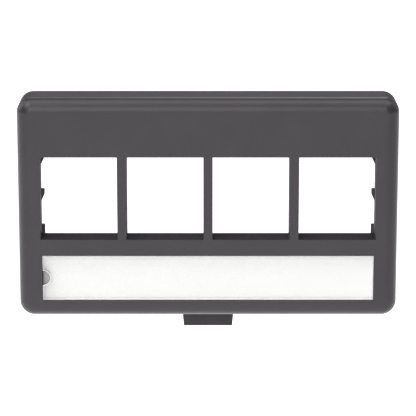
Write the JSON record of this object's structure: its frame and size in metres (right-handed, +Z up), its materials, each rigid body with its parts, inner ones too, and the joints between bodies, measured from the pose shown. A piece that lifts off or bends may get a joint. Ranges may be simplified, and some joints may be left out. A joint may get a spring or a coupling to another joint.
{
  "type": "keystone faceplate",
  "caption": "Black rectangular snap-in faceplate with a row of square keystone openings and a long white label strip under a clear cover, for a furniture cut-out.",
  "frame": {"origin": "middle of the furniture cut-out, in the plane of the panel face that the plate's rear rim sits on", "axes": "+Z up, +Y back into the panel (the face looks along -Y), +X along the row of ports"},
  "size_m": [0.0738, 0.0141, 0.0472],
  "materials": {
    "faceplate": "fine satin moulded grain",
    "label_card": "plain smooth white card",
    "label_cover": "clear polished"
  },
  "bodies": {
    "root": {"faceplate": "faceplate", "label_card": "label_card", "label_cover": "label_cover"}
  },
  "joints": []
}
